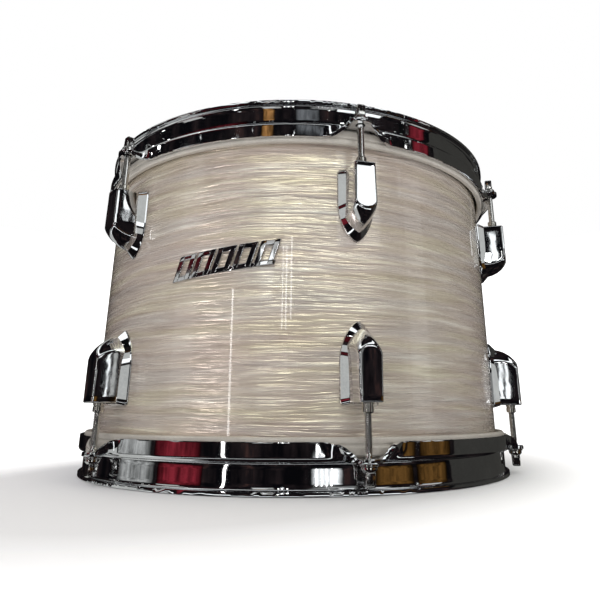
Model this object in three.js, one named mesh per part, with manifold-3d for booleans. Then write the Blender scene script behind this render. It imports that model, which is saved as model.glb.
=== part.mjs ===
// A 13 x 9 inch rack tom: a wrapped ply shell, a drumhead on each end, and two triple-flanged steel hoops pulled
// onto the heads by tension rods, which screw into swivel nuts held in single-ended bullet lugs.
// Millimetres. +Z is the drum's axis and the batter side. The drum stands on the rim of its lower hoop at z = 0,
// and its badge faces -Y. Azimuths are measured from -Y towards +X.
import * as THREE from 'three';
import { mergeVertices } from 'three/addons/utils/BufferGeometryUtils.js';
import Module from 'manifold-3d';

// ---- driving dimensions: radii from the drum's axis, heights above its mid-plane -----------------------------
const INCH = 25.4;
const WRAP_OUTER_R = 13 * INCH / 2;
const SHELL_END = 9 * INCH / 2;
const RIM_ABOVE_EDGE = 10.4;
const RIM = SHELL_END + RIM_ABOVE_EDGE;
const GAP = 0.3;
const CUT = 1; // how far a shape that cuts or joins another runs past its face
const RING_SIDES = 48;

const WRAP_T = 0.9;
const WRAP_SHORT = 2.4;
const PLY_T = 7;
const SHELL_OUTER_R = WRAP_OUTER_R - WRAP_T - GAP;
const SHELL_INNER_R = SHELL_OUTER_R - PLY_T;
const EDGE_FLAT = 1.2;
const EDGE_ROUND = 2;

const FLESH_INNER_R = WRAP_OUTER_R + 1.6;
const FLESH_OUTER_R = FLESH_INNER_R + 4.5;
const FLESH_TOP = SHELL_END - 9.7;
const FLESH_TALL = 10.8;

const FILM_T = 0.5;
const FILM_EDGE_R = WRAP_OUTER_R - 1.8;
const FILM_OUTER_R = FLESH_INNER_R + FILM_T;
const FILM_BEND = 1.8;

const HOOP_T = 2.3;
const SKIRT_INNER_R = FLESH_OUTER_R + 0.8;
const SKIRT_OUTER_R = SKIRT_INNER_R + HOOP_T;
const LEDGE_UNDER = FLESH_TOP + GAP;
const LEDGE_TOP = LEDGE_UNDER + HOOP_T;
const SKIRT_EDGE = LEDGE_TOP - 11;
const LEDGE_BEND = 1.6;
const COLLAR_INNER_R = SKIRT_INNER_R - 4.2;
const COLLAR_OUTER_R = COLLAR_INNER_R + HOOP_T;
const LIP_OUTER_R = COLLAR_OUTER_R + 2.8;
const LIP_TALL = 4.8;
const LIP_FLAT_INNER_R = COLLAR_OUTER_R - 0.4;

const STATIONS = 6;
const FIRST_AZIMUTH = 30;
const ROD_CIRCLE_R = WRAP_OUTER_R + 13.6;
const EAR_OUTER_R = ROD_CIRCLE_R + 6.5;
const EAR_HALF = 7;
const EAR_ROOT_HALF = 13;
const EAR_HOLE_R = 3.6;
const WINDOW_HALF = 26;
const SWEEP_END = 1; // how much the edge of the skirt still rises where it meets the ear

const FLANGE_T = 1.8;
const FLANGE_HALF = 12.6;
const FLANGE_MOUTH = 76.8;
const FLANGE_SHOULDER = 52;
const FLANGE_TIP = 25.8;
const FLANGE_CORNER = 3;
const TIP_SPREAD = FLANGE_HALF * 0.45; // how blunt the point of the flange is
const SIDE_PULL = 14; // how far along the sides the rounding starts
const BODY_FACE_R = WRAP_OUTER_R + 21.8;
const BODY_HALF = 8.1;
const BODY_BEVEL = 1.4;
const BODY_MOUTH = 74.8;
const BODY_SHOULDER = 48.5;
const BODY_TIP = 31;
const NOSE_FULLNESS = 4; // how far above the tip the nose already leans to its full width
const FACE_CHAMFER = 1;
const LUG_WALL = 2.4;
const LUG_BACK_R = WRAP_OUTER_R - CUT;
const POCKET_HALF = 5;
const POCKET_TALL = 26;
const MOUTH_HOLE_R = 4.1;

const PIN_SIDES = 8;
const ROD_SHANK_R = 2.35;
const ROD_THREAD_R = 2.6;
const ROD_LENGTH = 42;
const THREAD_LENGTH = 24;
const ROD_POINT = 1;
const ROD_FLANGE_R = 4.8;
const ROD_FLANGE_T = 2.9;
const KEY_HEAD_ACROSS = 6.2;
const KEY_HEAD_TALL = 8;
const WASHER_OUTER_R = 5.6;
const WASHER_INNER_R = 3.1;
const WASHER_T = 1.2;
const WASHER_BOTTOM = LEDGE_TOP + GAP;
const ROD_FLANGE_BOTTOM = WASHER_BOTTOM + WASHER_T + GAP;

const NUT_BORE_R = ROD_THREAD_R + 0.4;
const NUT_SLEEVE_R = 3.6;
const NUT_FLANGE_R = 4.6;
const NUT_FLANGE_T = 2.5;
const NUT_MOUTH = 80.5;
const NUT_INNER = 62;

const BADGE_LENGTH = 80;
const BADGE_TALL = 17;
const BADGE_T = 1.6;
const BADGE_HEIGHT = 14;
const BADGE_SLANT = 7.5;
const BADGE_RISE_DEG = 6.4;

const VENT_AZIMUTH = 180;
const VENT_HOLE_R = 5.4;
const VENT_TUBE_R = 5;
const VENT_BORE_R = 4;
const VENT_FLANGE_R = 8.5;
const VENT_FLANGE_T = 1.6;
const VENT_CURL = 1.5;
const VENT_WASHER_T = 1;

// ---- finishes -----------------------------------------------------------------------------------------------
const finish = (color, roughness, metalness) =>
  new THREE.MeshStandardMaterial({ color, roughness, metalness });
const OYSTER_WRAP = finish(0xcbc5b8, 0.2, 0.1);
const PLY_WOOD = finish(0xb98b5a, 0.5, 0);
const COATED_FILM = finish(0xf0efe9, 0.6, 0);
const CLEAR_FILM = finish(0xd8e0e4, 0.1, 0);
const ALUMINIUM = finish(0xc4c6c8, 0.35, 1);
const CHROME = finish(0xd6d8da, 0.08, 1);
const NICKEL = finish(0xbdbab2, 0.25, 1);

// ---- solids -------------------------------------------------------------------------------------------------
const wasm = await Module();
wasm.setup();

function solidOf(geometry) {
  const bare = geometry.clone();
  bare.deleteAttribute('normal');
  bare.deleteAttribute('uv');
  const merged = mergeVertices(bare, 1e-3);
  return new wasm.Manifold(new wasm.Mesh({
    numProp: 3,
    vertProperties: merged.attributes.position.array,
    triVerts: new Uint32Array(merged.index.array),
  }));
}

function geometryOf(solid) {
  const mesh = solid.getMesh();
  return new THREE.BufferGeometry()
    .setAttribute('position', new THREE.BufferAttribute(mesh.vertProperties, 3))
    .setIndex(new THREE.BufferAttribute(mesh.triVerts, 1));
}

const shapeOf = (points) => new THREE.Shape(points.map(([across, up]) => new THREE.Vector2(across, up)));

// Turns a profile of [radius, height] points about Z. A profile that doesn't start and end on the axis is closed.
function turned(profile, sides = RING_SIDES) {
  const points = profile.map(([radius, height]) => new THREE.Vector2(radius, height));
  if (THREE.ShapeUtils.area(points) < 0) points.reverse();
  if (points[0].x > 0 || points.at(-1).x > 0) points.push(points[0].clone());
  return new THREE.LatheGeometry(points, sides).rotateX(Math.PI / 2);
}

const tube = (inner, outer, low, high, sides) =>
  turned([[inner, low], [outer, low], [outer, high], [inner, high]], sides);

// Pushes an upright outline, drawn in X and Z, outwards along -Y from one radius to another.
const pushedOut = (outline, from, to, curveSegments = 5) =>
  new THREE.ExtrudeGeometry(outline, { depth: to - from, bevelEnabled: false, curveSegments })
    .rotateX(Math.PI / 2)
    .translate(0, -from, 0);

// Raises an outline drawn in X and Y, from one height to another.
const raised = (outline, low, high, curveSegments = 5) =>
  new THREE.ExtrudeGeometry(outline, { depth: high - low, bevelEnabled: false, curveSegments })
    .translate(0, 0, low);

// An upright pin on the axis of the station's tension rod.
const rodPin = (radius, low, high) =>
  new THREE.CylinderGeometry(radius, radius, high - low, PIN_SIDES)
    .rotateX(Math.PI / 2)
    .translate(0, -ROD_CIRCLE_R, (low + high) / 2);

const azimuthOf = (station) => THREE.MathUtils.degToRad(FIRST_AZIMUTH + station * 360 / STATIONS);
const stations = [...Array(STATIONS).keys()];

// ---- shell, wrap, vent --------------------------------------------------------------------------------------
function shellTube() {
  const bevel = SHELL_END - (PLY_T - EDGE_FLAT - EDGE_ROUND);
  const flatOuterR = SHELL_OUTER_R - EDGE_ROUND;
  const upper = [
    [SHELL_OUTER_R, SHELL_END - EDGE_ROUND], [flatOuterR, SHELL_END],
    [flatOuterR - EDGE_FLAT, SHELL_END], [SHELL_INNER_R, bevel],
  ];
  const lower = upper.map(([radius, height]) => [radius, -height]).reverse();
  return turned([...upper, ...lower]);
}

function wrapSleeve() {
  const end = SHELL_END - WRAP_SHORT;
  return tube(WRAP_OUTER_R - WRAP_T, WRAP_OUTER_R, -end, end);
}

// Lays a piece made about Z along the vent's axis, so that its height becomes its radius from the drum's axis.
const alongVent = (geometry) =>
  geometry.rotateX(Math.PI / 2).rotateZ(THREE.MathUtils.degToRad(VENT_AZIMUTH));

function withVentHole(wall) {
  const start = SHELL_INNER_R - PLY_T;
  const end = WRAP_OUTER_R + PLY_T;
  const drill = alongVent(turned([[0, start], [VENT_HOLE_R, start], [VENT_HOLE_R, end], [0, end]], PIN_SIDES));
  return geometryOf(solidOf(wall).subtract(solidOf(drill)));
}

// An eyelet: a tube through the wall with a flange outside. Its inner end is curled over a washer.
function ventEyelet() {
  const inside = SHELL_INNER_R - VENT_CURL - VENT_WASHER_T;
  const seat = WRAP_OUTER_R + GAP;
  return alongVent(turned([
    [VENT_BORE_R, inside], [VENT_TUBE_R, inside], [VENT_TUBE_R, seat], [VENT_FLANGE_R, seat],
    [VENT_FLANGE_R, seat + VENT_FLANGE_T / 2], [VENT_FLANGE_R - VENT_FLANGE_T / 2, seat + VENT_FLANGE_T],
    [VENT_BORE_R, seat + VENT_FLANGE_T],
  ], PIN_SIDES));
}

function ventWasher() {
  const seat = SHELL_INNER_R * Math.cos(Math.PI / RING_SIDES) - 2 * GAP;
  return alongVent(tube(VENT_TUBE_R + GAP, VENT_FLANGE_R, seat - VENT_WASHER_T, seat, PIN_SIDES));
}

// ---- badge: a slanted plate bent to the shell, the part of a thin ring that lies inside its outline ----------
function badgePlate() {
  const half = BADGE_LENGTH / 2;
  const tall = BADGE_TALL / 2;
  const outline = shapeOf([
    [-half, -tall], [half - BADGE_SLANT, -tall], [half, tall], [-half + BADGE_SLANT, tall],
  ]);
  const column = new THREE.ExtrudeGeometry(outline, { depth: WRAP_OUTER_R, bevelEnabled: false })
    .rotateZ(THREE.MathUtils.degToRad(BADGE_RISE_DEG))
    .rotateX(Math.PI / 2)
    .translate(0, -WRAP_OUTER_R / 2, BADGE_HEIGHT);
  const seat = WRAP_OUTER_R + GAP;
  const ring = tube(seat, seat + BADGE_T, BADGE_HEIGHT - BADGE_LENGTH, BADGE_HEIGHT + BADGE_LENGTH);
  return geometryOf(solidOf(column).intersect(solidOf(ring)));
}

// ---- lug, drawn at azimuth 0 on the batter side --------------------------------------------------------------
function flangeOutline() {
  const outline = new THREE.Shape();
  outline.moveTo(0, FLANGE_TIP);
  outline.bezierCurveTo(TIP_SPREAD, FLANGE_TIP, FLANGE_HALF, FLANGE_SHOULDER - SIDE_PULL, FLANGE_HALF, FLANGE_SHOULDER);
  outline.lineTo(FLANGE_HALF, FLANGE_MOUTH - FLANGE_CORNER);
  outline.quadraticCurveTo(FLANGE_HALF, FLANGE_MOUTH, FLANGE_HALF - FLANGE_CORNER, FLANGE_MOUTH);
  outline.lineTo(FLANGE_CORNER - FLANGE_HALF, FLANGE_MOUTH);
  outline.quadraticCurveTo(-FLANGE_HALF, FLANGE_MOUTH, -FLANGE_HALF, FLANGE_MOUTH - FLANGE_CORNER);
  outline.lineTo(-FLANGE_HALF, FLANGE_SHOULDER);
  outline.bezierCurveTo(-FLANGE_HALF, FLANGE_SHOULDER - SIDE_PULL, -TIP_SPREAD, FLANGE_TIP, 0, FLANGE_TIP);
  return outline;
}

function bodyFrontOutline() {
  const outline = new THREE.Shape();
  outline.moveTo(0, BODY_TIP);
  outline.quadraticCurveTo(BODY_HALF, BODY_TIP + NOSE_FULLNESS, BODY_HALF, BODY_SHOULDER);
  outline.lineTo(BODY_HALF, BODY_MOUTH);
  outline.lineTo(-BODY_HALF, BODY_MOUTH);
  outline.lineTo(-BODY_HALF, BODY_SHOULDER);
  outline.quadraticCurveTo(-BODY_HALF, BODY_TIP + NOSE_FULLNESS, 0, BODY_TIP);
  return outline;
}

// The body seen from the side: the face is straight from the mouth to the shoulder, then falls away to the tip.
function bodySideProfile() {
  const outline = new THREE.Shape();
  outline.moveTo(LUG_BACK_R, BODY_TIP);
  outline.quadraticCurveTo(BODY_FACE_R, BODY_TIP + FACE_CHAMFER, BODY_FACE_R, BODY_SHOULDER);
  outline.lineTo(BODY_FACE_R, BODY_MOUTH - FACE_CHAMFER);
  outline.lineTo(BODY_FACE_R - FACE_CHAMFER, BODY_MOUTH);
  outline.lineTo(LUG_BACK_R, BODY_MOUTH);
  return outline;
}

// The body seen along the rod: a box with its two outer corners cut off.
function bodySection() {
  const corner = BODY_HALF - BODY_BEVEL;
  return shapeOf([
    [-BODY_HALF, -LUG_BACK_R], [-BODY_HALF, BODY_BEVEL - BODY_FACE_R], [-corner, -BODY_FACE_R],
    [corner, -BODY_FACE_R], [BODY_HALF, BODY_BEVEL - BODY_FACE_R], [BODY_HALF, -LUG_BACK_R],
  ]);
}

function lugCasting() {
  const flange = solidOf(pushedOut(flangeOutline(), LUG_BACK_R, WRAP_OUTER_R + GAP + FLANGE_T, 4));
  const front = solidOf(pushedOut(bodyFrontOutline(), LUG_BACK_R, BODY_FACE_R + CUT, 4));
  const side = solidOf(new THREE.ExtrudeGeometry(bodySideProfile(),
    { depth: 4 * BODY_HALF, bevelEnabled: false, curveSegments: 5 })
    .translate(0, 0, -2 * BODY_HALF).rotateX(Math.PI / 2).rotateZ(-Math.PI / 2));
  const section = solidOf(raised(bodySection(), 0, FLANGE_MOUTH));
  const pocketTop = BODY_MOUTH - LUG_WALL;
  const pocket = solidOf(pushedOut(shapeOf([
    [-POCKET_HALF, pocketTop - POCKET_TALL], [POCKET_HALF, pocketTop - POCKET_TALL],
    [POCKET_HALF, pocketTop], [-POCKET_HALF, pocketTop],
  ]), LUG_BACK_R - CUT, BODY_FACE_R - LUG_WALL));
  const mouth = solidOf(rodPin(MOUTH_HOLE_R, pocketTop - CUT, FLANGE_MOUTH + CUT));
  const drumBarrel = solidOf(turned([[0, 0], [WRAP_OUTER_R + GAP, 0],
    [WRAP_OUTER_R + GAP, SHELL_END], [0, SHELL_END]]));
  return geometryOf(front.intersect(side).intersect(section).add(flange)
    .subtract(pocket).subtract(mouth).subtract(drumBarrel));
}

// A swivel nut: a sleeve that stands out of the lug's mouth, with a flange that bears on the inside of it.
function swivelNut() {
  const flangeTop = BODY_MOUTH - LUG_WALL - GAP;
  const flangeBottom = flangeTop - NUT_FLANGE_T;
  return turned([
    [NUT_BORE_R, NUT_INNER], [NUT_SLEEVE_R, NUT_INNER], [NUT_SLEEVE_R, flangeBottom],
    [NUT_FLANGE_R, flangeBottom], [NUT_FLANGE_R, flangeTop], [NUT_SLEEVE_R, flangeTop],
    [NUT_SLEEVE_R, NUT_MOUTH], [NUT_BORE_R, NUT_MOUTH],
  ], PIN_SIDES).translate(0, -ROD_CIRCLE_R, 0);
}

// ---- tension rod: a threaded pin, a flange, and a square head for a drum key ---------------------------------
function tensionRod() {
  const tip = ROD_FLANGE_BOTTOM - ROD_LENGTH;
  const threadEnd = tip + THREAD_LENGTH;
  const headBottom = ROD_FLANGE_BOTTOM + ROD_FLANGE_T;
  const pin = turned([
    [0, tip], [ROD_THREAD_R - ROD_POINT, tip], [ROD_THREAD_R, tip + ROD_POINT], [ROD_THREAD_R, threadEnd],
    [ROD_SHANK_R, threadEnd], [ROD_SHANK_R, ROD_FLANGE_BOTTOM], [ROD_FLANGE_R, ROD_FLANGE_BOTTOM],
    [ROD_FLANGE_R, ROD_FLANGE_BOTTOM + ROD_FLANGE_T / 3], [KEY_HEAD_ACROSS / 2, headBottom], [0, headBottom],
  ], PIN_SIDES);
  const head = new THREE.BoxGeometry(KEY_HEAD_ACROSS, KEY_HEAD_ACROSS, KEY_HEAD_TALL + CUT)
    .translate(0, 0, headBottom + (KEY_HEAD_TALL - CUT) / 2);
  return geometryOf(solidOf(pin).add(solidOf(head))).translate(0, -ROD_CIRCLE_R, 0);
}

const rodWasher = () =>
  tube(WASHER_INNER_R, WASHER_OUTER_R, WASHER_BOTTOM, WASHER_BOTTOM + WASHER_T, PIN_SIDES)
    .translate(0, -ROD_CIRCLE_R, 0);

// ---- drumhead -----------------------------------------------------------------------------------------------
// The film lies flat over the bearing edge and starts to bend down outside it.
function headFilm() {
  const under = SHELL_END + GAP;
  const top = under + FILM_T;
  return turned([
    [0, under], [FILM_EDGE_R, under], [FLESH_INNER_R, under - FILM_BEND], [FILM_OUTER_R, under - FILM_BEND],
    [FILM_OUTER_R, top - FILM_BEND], [FILM_EDGE_R, top], [0, top],
  ]);
}

// The flesh hoop with the film's collar, which is crimped into it and stands up inside the hoop.
function fleshHoop() {
  const bottom = FLESH_TOP - FLESH_TALL;
  const collarTop = SHELL_END - FILM_BEND;
  return turned([
    [FLESH_INNER_R, bottom], [FLESH_OUTER_R, bottom], [FLESH_OUTER_R, FLESH_TOP], [FILM_OUTER_R, FLESH_TOP],
    [FILM_OUTER_R, collarTop], [FLESH_INNER_R, collarTop],
  ]);
}

// ---- triple-flanged hoop: lip, collar, ledge and skirt, with an ear at each tension rod -----------------------
function hoopRing() {
  const lipStart = RIM - LIP_TALL;
  return turned([
    [SKIRT_INNER_R, SKIRT_EDGE], [SKIRT_OUTER_R, SKIRT_EDGE], [SKIRT_OUTER_R, LEDGE_TOP - LEDGE_BEND],
    [SKIRT_OUTER_R - LEDGE_BEND, LEDGE_TOP], [COLLAR_OUTER_R, LEDGE_TOP], [COLLAR_OUTER_R, lipStart],
    [(COLLAR_OUTER_R + LIP_OUTER_R) / 2, lipStart + LIP_TALL / 2], [LIP_OUTER_R, RIM - LIP_TALL / 3],
    [LIP_OUTER_R, RIM], [LIP_FLAT_INNER_R, RIM], [COLLAR_INNER_R, RIM - LIP_TALL / 2],
    [COLLAR_INNER_R, LEDGE_UNDER], [SKIRT_INNER_R, LEDGE_UNDER],
  ]);
}

function earOutline() {
  const rootR = COLLAR_OUTER_R - CUT / 2;
  const outline = new THREE.Shape();
  outline.moveTo(-EAR_ROOT_HALF, -rootR);
  outline.quadraticCurveTo(-EAR_HALF, -SKIRT_OUTER_R, -EAR_HALF, -ROD_CIRCLE_R);
  outline.quadraticCurveTo(-EAR_HALF, -EAR_OUTER_R, 0, -EAR_OUTER_R);
  outline.quadraticCurveTo(EAR_HALF, -EAR_OUTER_R, EAR_HALF, -ROD_CIRCLE_R);
  outline.quadraticCurveTo(EAR_HALF, -SKIRT_OUTER_R, EAR_ROOT_HALF, -rootR);
  return outline;
}

// The stretch of skirt that is left out behind a rod: its edge sweeps up in an S to the sides of the ear.
function windowOutline() {
  const low = SKIRT_EDGE - CUT;
  const halfway = (WINDOW_HALF + EAR_HALF) / 2;
  const outline = new THREE.Shape();
  outline.moveTo(-WINDOW_HALF, low);
  outline.bezierCurveTo(-halfway, low, -halfway, LEDGE_UNDER - SWEEP_END, -EAR_HALF, LEDGE_UNDER);
  outline.lineTo(EAR_HALF, LEDGE_UNDER);
  outline.bezierCurveTo(halfway, LEDGE_UNDER - SWEEP_END, halfway, low, WINDOW_HALF, low);
  return outline;
}

function flangedHoop() {
  const ear = raised(earOutline(), LEDGE_UNDER, LEDGE_TOP, 3);
  const window = pushedOut(windowOutline(), SKIRT_INNER_R - HOOP_T, SKIRT_OUTER_R + CUT, 4);
  const hole = rodPin(EAR_HOLE_R, LEDGE_UNDER - CUT, LEDGE_TOP + CUT);
  const turnedTo = (geometry, station) => solidOf(geometry.clone().rotateZ(azimuthOf(station)));
  let hoop = solidOf(hoopRing());
  for (const station of stations) hoop = hoop.subtract(turnedTo(window, station));
  for (const station of stations) hoop = hoop.add(turnedTo(ear, station));
  for (const station of stations) hoop = hoop.subtract(turnedTo(hole, station));
  return geometryOf(hoop);
}

// ---- assembly -----------------------------------------------------------------------------------------------
function add(group, name, geometry, material) {
  const mesh = new THREE.Mesh(geometry, material);
  mesh.name = name;
  group.add(mesh);
}

const drum = new THREE.Group();
const middle = new THREE.Group();
middle.position.z = RIM;
drum.add(middle);

add(middle, 'shell', withVentHole(shellTube()), PLY_WOOD);
add(middle, 'wrap', withVentHole(wrapSleeve()), OYSTER_WRAP);
add(middle, 'badge_plate', badgePlate(), CHROME);
add(middle, 'vent_eyelet', ventEyelet(), CHROME);
add(middle, 'vent_washer', ventWasher(), NICKEL);

// Each side of the drum is drawn pointing up; the resonant side is turned over about Y, which also reverses its
// azimuths, so each of its stations is turned the other way to stand under its partner.
function side(name, filmFinish, turnedOver) {
  const half = new THREE.Group();
  half.rotation.y = turnedOver ? Math.PI : 0;
  middle.add(half);
  add(half, `${name}_hoop`, flangedHoop(), CHROME);
  add(half, `${name}_flesh_hoop`, fleshHoop(), ALUMINIUM);
  add(half, `${name}_head_film`, headFilm(), filmFinish);
  for (const station of stations) {
    const place = new THREE.Group();
    place.rotation.z = azimuthOf(station) * (turnedOver ? -1 : 1);
    half.add(place);
    add(place, `${name}_lug_${station + 1}`, lugCasting(), CHROME);
    add(place, `${name}_swivel_nut_${station + 1}`, swivelNut(), NICKEL);
    add(place, `${name}_tension_rod_${station + 1}`, tensionRod(), CHROME);
    add(place, `${name}_rod_washer_${station + 1}`, rodWasher(), NICKEL);
  }
}

side('batter', COATED_FILM, false);
side('resonant', CLEAR_FILM, true);

export default drum;
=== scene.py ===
# %% [markdown]
# # A 13 x 9 inch rack tom, with looks
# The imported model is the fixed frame: it says where every piece sits and what moves.
# Here each working solid gets the finished piece that a drum maker would fit in its place.

# %% Load the frame
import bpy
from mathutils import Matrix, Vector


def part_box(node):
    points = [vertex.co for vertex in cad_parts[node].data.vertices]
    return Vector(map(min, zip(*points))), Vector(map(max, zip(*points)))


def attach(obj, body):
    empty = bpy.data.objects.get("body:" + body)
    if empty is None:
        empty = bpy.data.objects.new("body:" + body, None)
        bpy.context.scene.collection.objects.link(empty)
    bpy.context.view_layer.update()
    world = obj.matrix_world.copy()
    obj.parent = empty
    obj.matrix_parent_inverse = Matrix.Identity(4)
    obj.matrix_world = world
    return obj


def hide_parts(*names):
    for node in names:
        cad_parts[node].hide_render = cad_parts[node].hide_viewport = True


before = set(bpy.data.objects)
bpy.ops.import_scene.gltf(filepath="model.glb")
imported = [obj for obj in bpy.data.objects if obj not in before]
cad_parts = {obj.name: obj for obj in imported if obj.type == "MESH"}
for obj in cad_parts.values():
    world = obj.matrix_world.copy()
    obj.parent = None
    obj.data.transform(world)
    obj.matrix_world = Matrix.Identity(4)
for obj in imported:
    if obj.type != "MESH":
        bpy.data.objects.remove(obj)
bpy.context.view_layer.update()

# %% [markdown]
# ## Measures
# A drum maker thinks in millimetres, in radius from the drum's axis and in height above the middle of the shell.
# Both ends of a tom are alike, so everything is drawn once at the top, at the front, and is then carried
# to its station. Turning a piece half over about the line that points out of the shell takes it to the lower end.

# %% Measures in millimetres
import math
import random

import bpy
from mathutils import Matrix, Vector

MM = 0.001


def corners(name):
    """A working solid's lowest and highest corners at rest, in millimetres."""
    return [[round(value / MM, 3) for value in corner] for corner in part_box(name)]


wrap_low, wrap_high = corners("wrap")
rod_low, rod_high = corners("batter_tension_rod_2")      # the second station is at the right, on the x axis
MIDDLE = round((wrap_low[2] + wrap_high[2]) / 2, 3)      # the shell's middle above the rim it stands on


def above_middle(name):
    """How far a top piece's lowest and highest points are above the shell's middle."""
    return [round(corner[2] - MIDDLE, 3) for corner in corners(name)]


SHELL_OUTER, SHELL_END = corners("shell")[1][0], above_middle("shell")[1]
SHELL_INNER = SHELL_OUTER - 7.0
WRAP_OUTER, WRAP_END = wrap_high[0], above_middle("wrap")[1]
WRAP_INNER = 164.2
ROD_CIRCLE = round((rod_low[0] + rod_high[0]) / 2, 3)
FACE = corners("batter_lug_2")[1][0]                     # the lugs' flat front
STATIONS = {k: 30 + 60 * (k - 1) for k in range(1, 7)}
ENDS = {"batter": 1, "resonant": -1}
print("middle", MIDDLE, "shell", SHELL_OUTER, SHELL_INNER, SHELL_END, "wrap", WRAP_OUTER, WRAP_END)
print("rods at", ROD_CIRCLE, "lug fronts at", FACE, "stations at", STATIONS)

# %% [markdown]
# ## Helpers for the bench
# An operator works on whatever is selected, so every step starts by selecting one thing only.
# A lathe piece is an outline spun round the drum's axis. A pressed or cast piece starts as a flat grid
# that is laid over the shape, row by row, and is then welded shut.

# %% Select, edit and finish
def nothing():
    bpy.ops.object.select_all(action="DESELECT")


def only(*pieces):
    nothing()
    for piece in pieces:
        piece.select_set(True)
    bpy.context.view_layer.objects.active = pieces[0]


def edit(piece, kind="VERT"):
    only(piece)
    bpy.ops.object.mode_set(mode="EDIT")
    bpy.ops.mesh.select_mode(type=kind)
    bpy.ops.mesh.select_all(action="DESELECT")


def leave():
    bpy.ops.object.mode_set(mode="OBJECT")


def weld(piece, close=False):
    edit(piece)
    bpy.ops.mesh.select_all(action="SELECT")
    bpy.ops.mesh.remove_doubles(threshold=0.004 * MM)
    bpy.ops.mesh.dissolve_degenerate(threshold=0.002 * MM)
    if close:
        bpy.ops.mesh.select_all(action="DESELECT")
        bpy.ops.mesh.select_non_manifold()
        bpy.ops.mesh.fill_holes(sides=0)
        bpy.ops.mesh.select_all(action="SELECT")
    bpy.ops.mesh.normals_make_consistent(inside=False)
    leave()


def smooth(piece, degrees=32):
    only(piece)
    bpy.ops.object.shade_smooth_by_angle(angle=math.radians(degrees))


def modify(piece, kind, **settings):
    only(piece)
    modifier = piece.modifiers.new(kind.title(), kind)
    for key, value in settings.items():
        setattr(modifier, key, value)
    bpy.ops.object.modifier_apply(modifier=modifier.name)


# %% Spin an outline on the lathe
def turned(name, outline, steps=48, open_ends=False, out=0.0):
    """outline is (radius, height) points; out moves the finished piece from the axis towards the front."""
    nothing()
    bpy.ops.mesh.primitive_circle_add(vertices=len(outline), radius=MM, fill_type="NOTHING")
    piece = bpy.context.object
    piece.name = piece.data.name = name
    for vertex, (radius, height) in zip(piece.data.vertices, outline):
        vertex.co = (radius * MM, 0, height * MM)
    if open_ends:
        piece.data.vertices.foreach_set("select", [False] * len(outline))
        for edge in piece.data.edges:
            edge.select = set(edge.vertices) == {0, len(outline) - 1}
        bpy.ops.object.mode_set(mode="EDIT")
        bpy.ops.mesh.select_mode(type="EDGE")
        bpy.ops.mesh.delete(type="EDGE")
        leave()
    edit(piece)
    bpy.ops.mesh.select_all(action="SELECT")
    bpy.ops.mesh.spin(steps=steps, angle=math.tau, center=(0, 0, 0), axis=(0, 0, 1))
    leave()
    weld(piece)
    if out:
        piece.data.transform(moved(0, -out, 0))
    return piece


# %% Lay a grid over a shape
def laid(name, columns, rows, place, close=False):
    """place(u, v) gives the point in millimetres for the grid's shares u and v, from 0 to 1."""
    nothing()
    bpy.ops.mesh.primitive_grid_add(x_subdivisions=columns, y_subdivisions=rows, size=1)
    piece = bpy.context.object
    piece.name = piece.data.name = name
    for vertex in piece.data.vertices:
        vertex.co = Vector(place(vertex.co.x + 0.5, vertex.co.y + 0.5)) * MM
    weld(piece, close)
    return piece


# %% Carry a piece to its station
def moved(x, y, z):
    """The matrix of a move in millimetres."""
    return Matrix.Translation((x * MM, y * MM, z * MM))


def station_matrix(azimuth=0, end=1):
    turn = Matrix.Rotation(math.radians(azimuth), 4, "Z")
    over = Matrix.Rotation(math.pi, 4, "Y") if end < 0 else Matrix.Identity(4)
    return moved(0, 0, MIDDLE) @ turn @ over


def carried(model, name, azimuth=0, end=1):
    piece = model.copy()
    piece.data = model.data.copy()
    piece.name = piece.data.name = name
    bpy.context.scene.collection.objects.link(piece)
    piece.data.transform(station_matrix(azimuth, end))
    return piece


# %% Stand a piece in for its working solid
def fitted(piece, body, finish, slot, *nodes):
    piece.data.materials.clear()
    piece.data.materials.append(finish)
    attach(piece, body)
    if nodes:
        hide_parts(*nodes)
    return piece


def discard(piece):
    bpy.data.objects.remove(piece)


# %% Curves for outlines
def smoothstep(x):
    x = min(max(x, 0.0), 1.0)
    return x * x * (3 - 2 * x)


def arc(centre, radius, start, stop, count):
    """Points on an arc in (radius, height), angles in degrees."""
    return [(centre[0] + radius * math.cos(math.radians(start + (stop - start) * i / count)),
             centre[1] + radius * math.sin(math.radians(start + (stop - start) * i / count)))
            for i in range(count + 1)]


# %% [markdown]
# ## Camera
# The drum is seen from just above the floor, looking up at it from the front and a little to the right.
# The lens is shifted a little to the left and down, as on a view camera, which frames the drum without tilting more.

# %% Camera
HEADING, PITCH, ROLL = math.radians(-14.985), math.radians(17.353), math.radians(0.112)
camera = bpy.data.objects.new("camera", bpy.data.cameras.new("camera"))
bpy.context.scene.collection.objects.link(camera)
forward = Vector((math.sin(HEADING) * math.cos(PITCH),
                  math.cos(HEADING) * math.cos(PITCH), math.sin(PITCH)))
level = Vector((math.cos(HEADING), -math.sin(HEADING), 0))
above = level.cross(forward)
right = level * math.cos(ROLL) + above * math.sin(ROLL)
up = above * math.cos(ROLL) - level * math.sin(ROLL)
turn = Matrix((right, up, -forward)).transposed().to_4x4()
camera.matrix_world = Matrix.Translation((0.14358, -0.47399, 0.04555)) @ turn
camera.data.lens, camera.data.sensor_width = 32.16, 36
camera.data.shift_x, camera.data.shift_y = -0.0260, -0.0951
camera.data.clip_start = 0.01
camera.data.dof.use_dof = False
bpy.context.scene.camera = camera
bpy.context.scene.view_settings.view_transform = "Standard"
print("camera at", tuple(camera.location))

# %% [markdown]
# ## Studio
# Chrome has no colour of its own: it shows the room. A white room makes it look like plaster, so polished
# metal is shot in a dark room with a few white tubes and panels, while a soft pale light fills the drum.
# A dome that only mirror rays can see does the same job here. The floor and the daylight stay plain and pale.

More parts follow.
